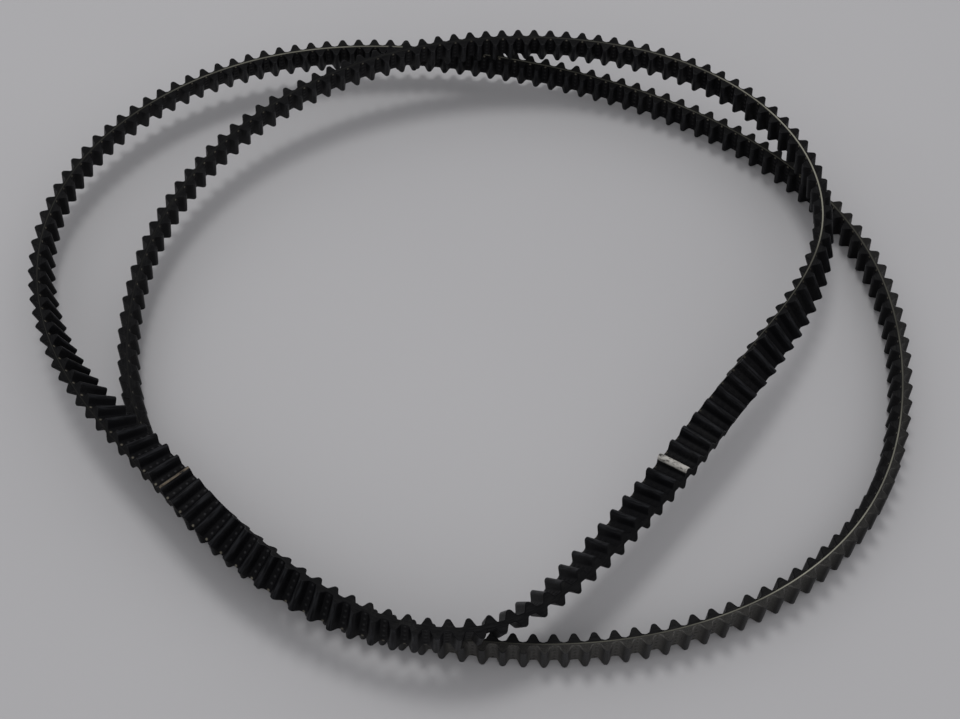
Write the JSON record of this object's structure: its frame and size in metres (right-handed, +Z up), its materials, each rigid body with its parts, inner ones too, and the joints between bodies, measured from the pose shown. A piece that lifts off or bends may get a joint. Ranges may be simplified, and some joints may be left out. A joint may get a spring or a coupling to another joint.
{
  "type": "timing belt",
  "caption": "Endless double-sided timing belt, rounded teeth on both faces, lying loosely coiled in two turns with one full twist.",
  "frame": {"origin": "middle of the box of the coiled belt, on the surface that it lies on", "axes": "+Z up out of that surface, +X along the longest side of the coil, +Y towards the crossing of the two turns at its back"},
  "size_m": [0.2496, 0.2048, 0.0235],
  "materials": {
    "neoprene": "matt black moulded rubber",
    "nylon_facing": "fine black woven nylon, slightly glossy on the tooth tips",
    "glass_cord": "treated glass fibre yarn, pale cream"
  },
  "bodies": {
    "root": {"outer_toothed_half": "neoprene", "inner_toothed_half": "neoprene", "s_twist_cord": "glass_cord", "z_twist_cord": "glass_cord"}
  },
  "joints": []
}
